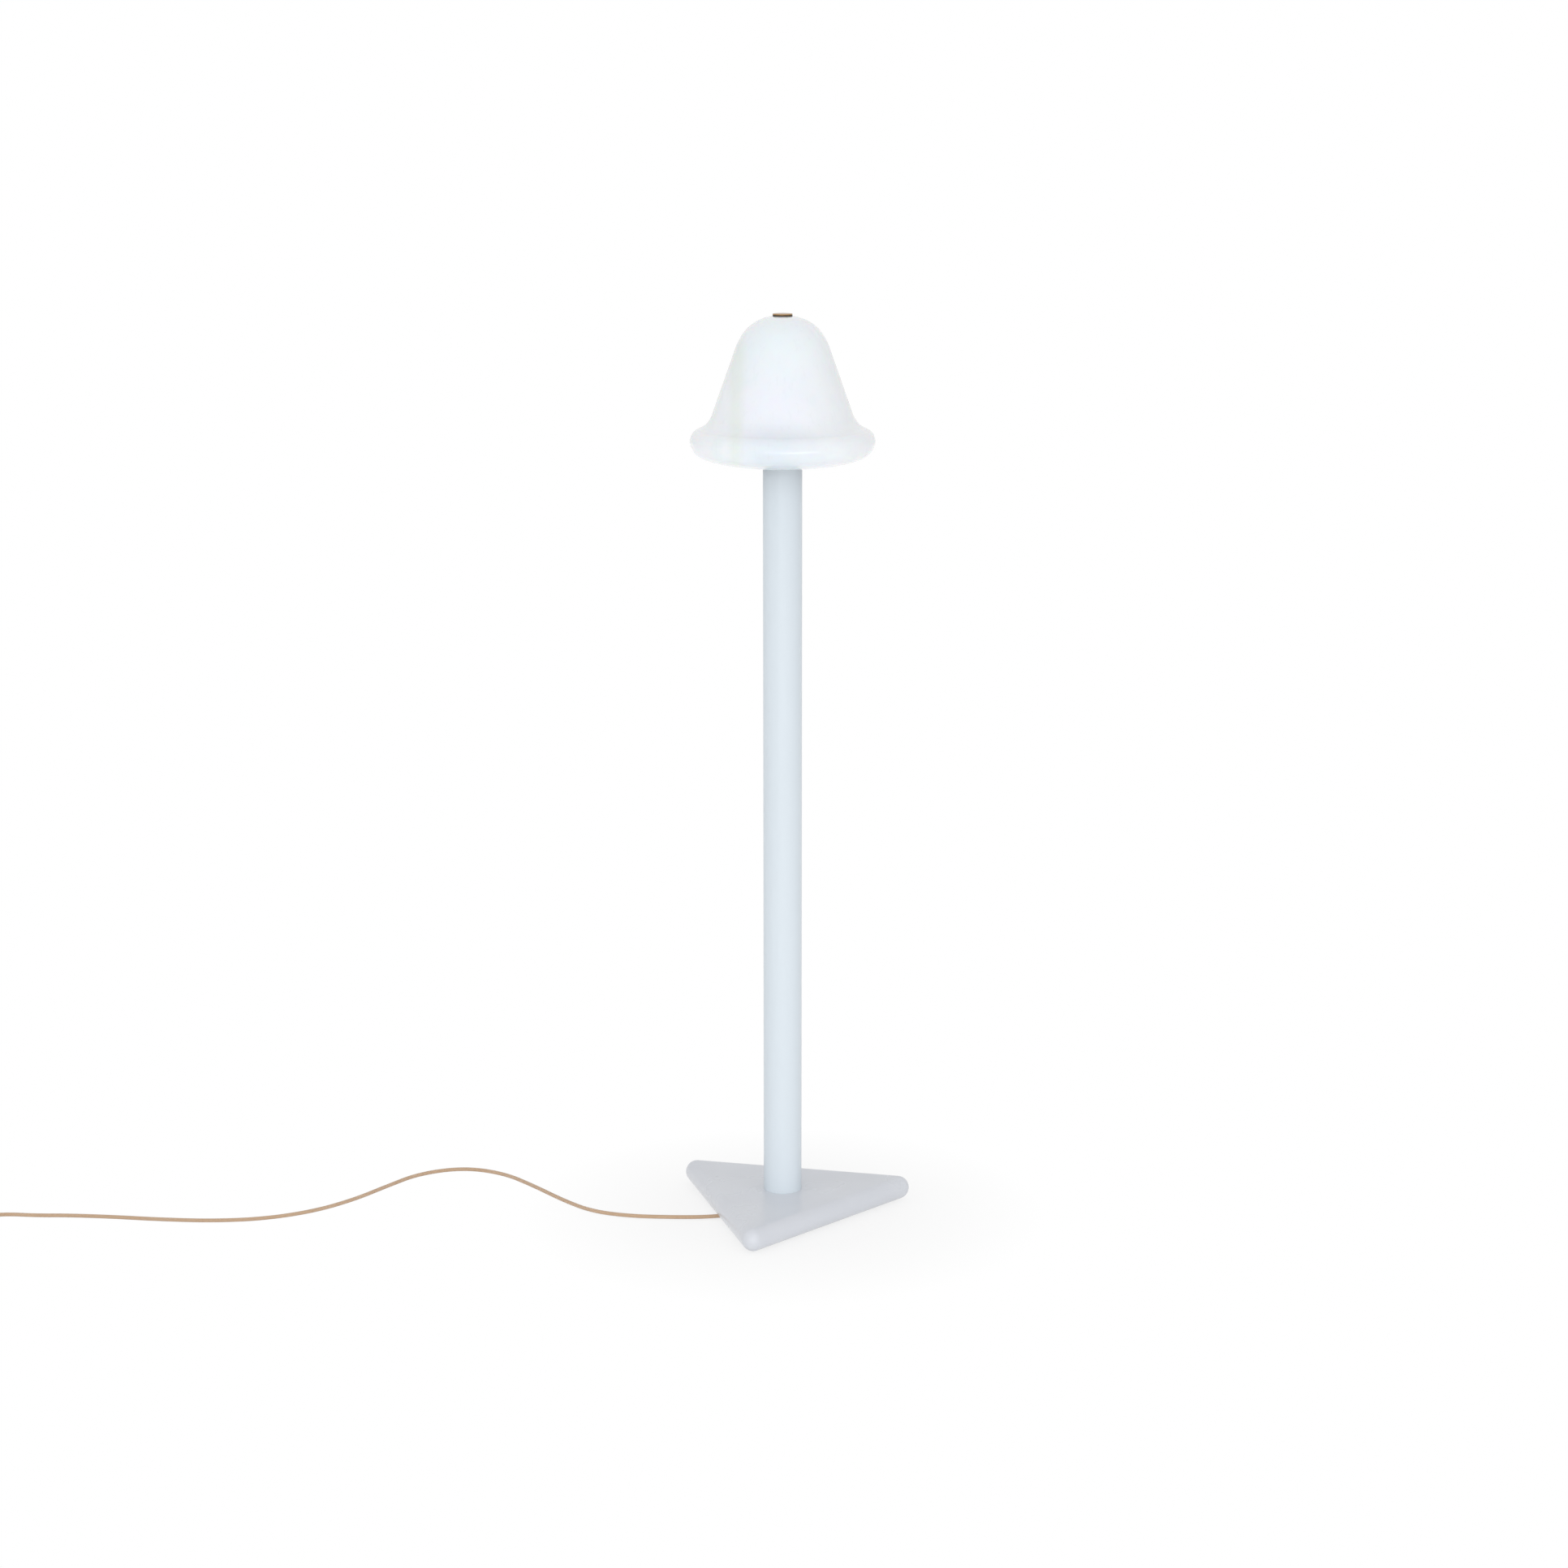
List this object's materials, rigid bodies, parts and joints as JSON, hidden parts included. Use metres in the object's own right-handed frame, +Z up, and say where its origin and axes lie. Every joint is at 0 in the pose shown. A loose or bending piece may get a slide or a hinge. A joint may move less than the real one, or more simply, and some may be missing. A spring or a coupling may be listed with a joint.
{
  "type": "floor lamp",
  "caption": "Mushroom floor lamp: opal glass bell shade under a small brass cap on a straight round column, with a rounded triangular weighted foot and a textile cord.",
  "frame": {"origin": "centre of the column's axis on the floor, on the underside of the felt pad", "axes": "+Z up along the column; one corner of the triangular foot points to -Y, the other two to the left and right at the back; the cord leaves under the left edge towards -X"},
  "size_m": [1.5924, 0.5259, 1.4207],
  "materials": {
    "foot_lacquer": "turned fibreboard under satin blue-grey white lacquer",
    "column_lacquer": "satin blue-grey white lacquer",
    "lacquered_fitting": "smooth white enamel",
    "cover_sheet": "grey primed sheet steel",
    "steel": "bright zinc-plated steel",
    "nickel": "nickel-plated brass",
    "polished_brass": "polished and clear-lacquered",
    "opal_glass": "glossy cased opal glass with a faint pearl lustre",
    "bulb_glass": "frosted white bulb glass",
    "holder_plastic": "moulded white lampholder",
    "pale_plastic": "moulded pale plastic",
    "switch_plastic": "smooth moulded white plastic",
    "gasket_rubber": "soft translucent white ring",
    "cord_sleeve": "woven copper-coloured textile sleeve over round insulation",
    "lead_sleeve": "white insulated lead",
    "felt": "thin pressed felt"
  },
  "bodies": {
    "frame": {"base_body": "foot_lacquer", "ballast_plate": "steel", "ballast_screws": "steel", "base_cover": "cover_sheet", "cover_screws": "steel", "felt_pad": "felt", "cord_bush": "pale_plastic", "cord_clamp": "pale_plastic", "clamp_screws": "steel", "cord_inside": "cord_sleeve", "lower_washer": "steel", "lower_nut": "steel", "tie_rod": "steel", "column_foot": "steel", "foot_screws": "steel", "column": "column_lacquer", "column_top_plate": "column_lacquer", "top_washer": "steel", "top_nut": "steel", "cluster_hub": "lacquered_fitting", "cluster_lid": "lacquered_fitting", "wire_connector": "pale_plastic", "lamp_arm_left": "lacquered_fitting", "lamp_lead_left": "lead_sleeve", "lampholder_left": "holder_plastic", "lamp_arm_right": "lacquered_fitting", "lamp_lead_right": "lead_sleeve", "lampholder_right": "holder_plastic", "shade_rod": "steel", "seat_nut": "steel", "shade_seat": "steel", "seat_gasket": "gasket_rubber", "cord_tube": "cord_sleeve", "cord_tail": "cord_sleeve", "cord_coil": "cord_sleeve", "cord_end": "cord_sleeve", "switch_bottom": "switch_plastic", "switch_top": "switch_plastic", "switch_core": "pale_plastic", "switch_screws": "steel", "plug_body": "switch_plastic", "plug_pins": "nickel"},
    "shade": {"shade": "opal_glass"},
    "cap_seal": {"cap_washer": "gasket_rubber"},
    "cap_nut": {"shade_cap": "polished_brass"},
    "bulb_left_cap": {"bulb_cap_left": "nickel"},
    "bulb_left_globe": {"bulb_glass_left": "bulb_glass"},
    "bulb_right_cap": {"bulb_cap_right": "nickel"},
    "bulb_right_globe": {"bulb_glass_right": "bulb_glass"},
    "foot_button": {"switch_button": "switch_plastic"}
  },
  "joints": [
    {"name": "shade_lift", "type": "slide", "parent": "frame", "child": "shade", "axis": [0, 0, 1], "range_m": [0, 0.26]},
    {"name": "cap_rise", "type": "slide", "parent": "shade", "child": "cap_seal", "axis": [0, 0, 1], "range_m": [0, 0.0071]},
    {"name": "cap_turn", "type": "hinge", "parent": "cap_seal", "child": "cap_nut", "pos_m": [0, 0, 1.4195], "axis": [0, 0, 1], "range_deg": [0, 2520]},
    {"name": "bulb_left_rise", "type": "slide", "parent": "frame", "child": "bulb_left_cap", "axis": [0, 0, 1], "range_m": [0, 0.0204]},
    {"name": "bulb_left_turn", "type": "hinge", "parent": "bulb_left_cap", "child": "bulb_left_globe", "pos_m": [-0.038, 0, 1.299], "axis": [0, 0, 1], "range_deg": [0, 2880]},
    {"name": "bulb_right_rise", "type": "slide", "parent": "frame", "child": "bulb_right_cap", "axis": [0, 0, 1], "range_m": [0, 0.0204]},
    {"name": "bulb_right_turn", "type": "hinge", "parent": "bulb_right_cap", "child": "bulb_right_globe", "pos_m": [0.038, 0, 1.299], "axis": [0, 0, 1], "range_deg": [0, 2880]},
    {"name": "switch_press", "type": "slide", "parent": "frame", "child": "foot_button", "axis": [0, 0, -1], "range_m": [0, 0.003], "stiffness_N_per_m": 600, "springref_m": -0.003}
  ],
  "couplings": [
    {"joint": "cap_rise", "follows": "cap_turn", "m_per_rad": 0.00015915},
    {"joint": "bulb_left_rise", "follows": "bulb_left_turn", "m_per_rad": 0.00040425},
    {"joint": "bulb_right_rise", "follows": "bulb_right_turn", "m_per_rad": 0.00040425}
  ]
}
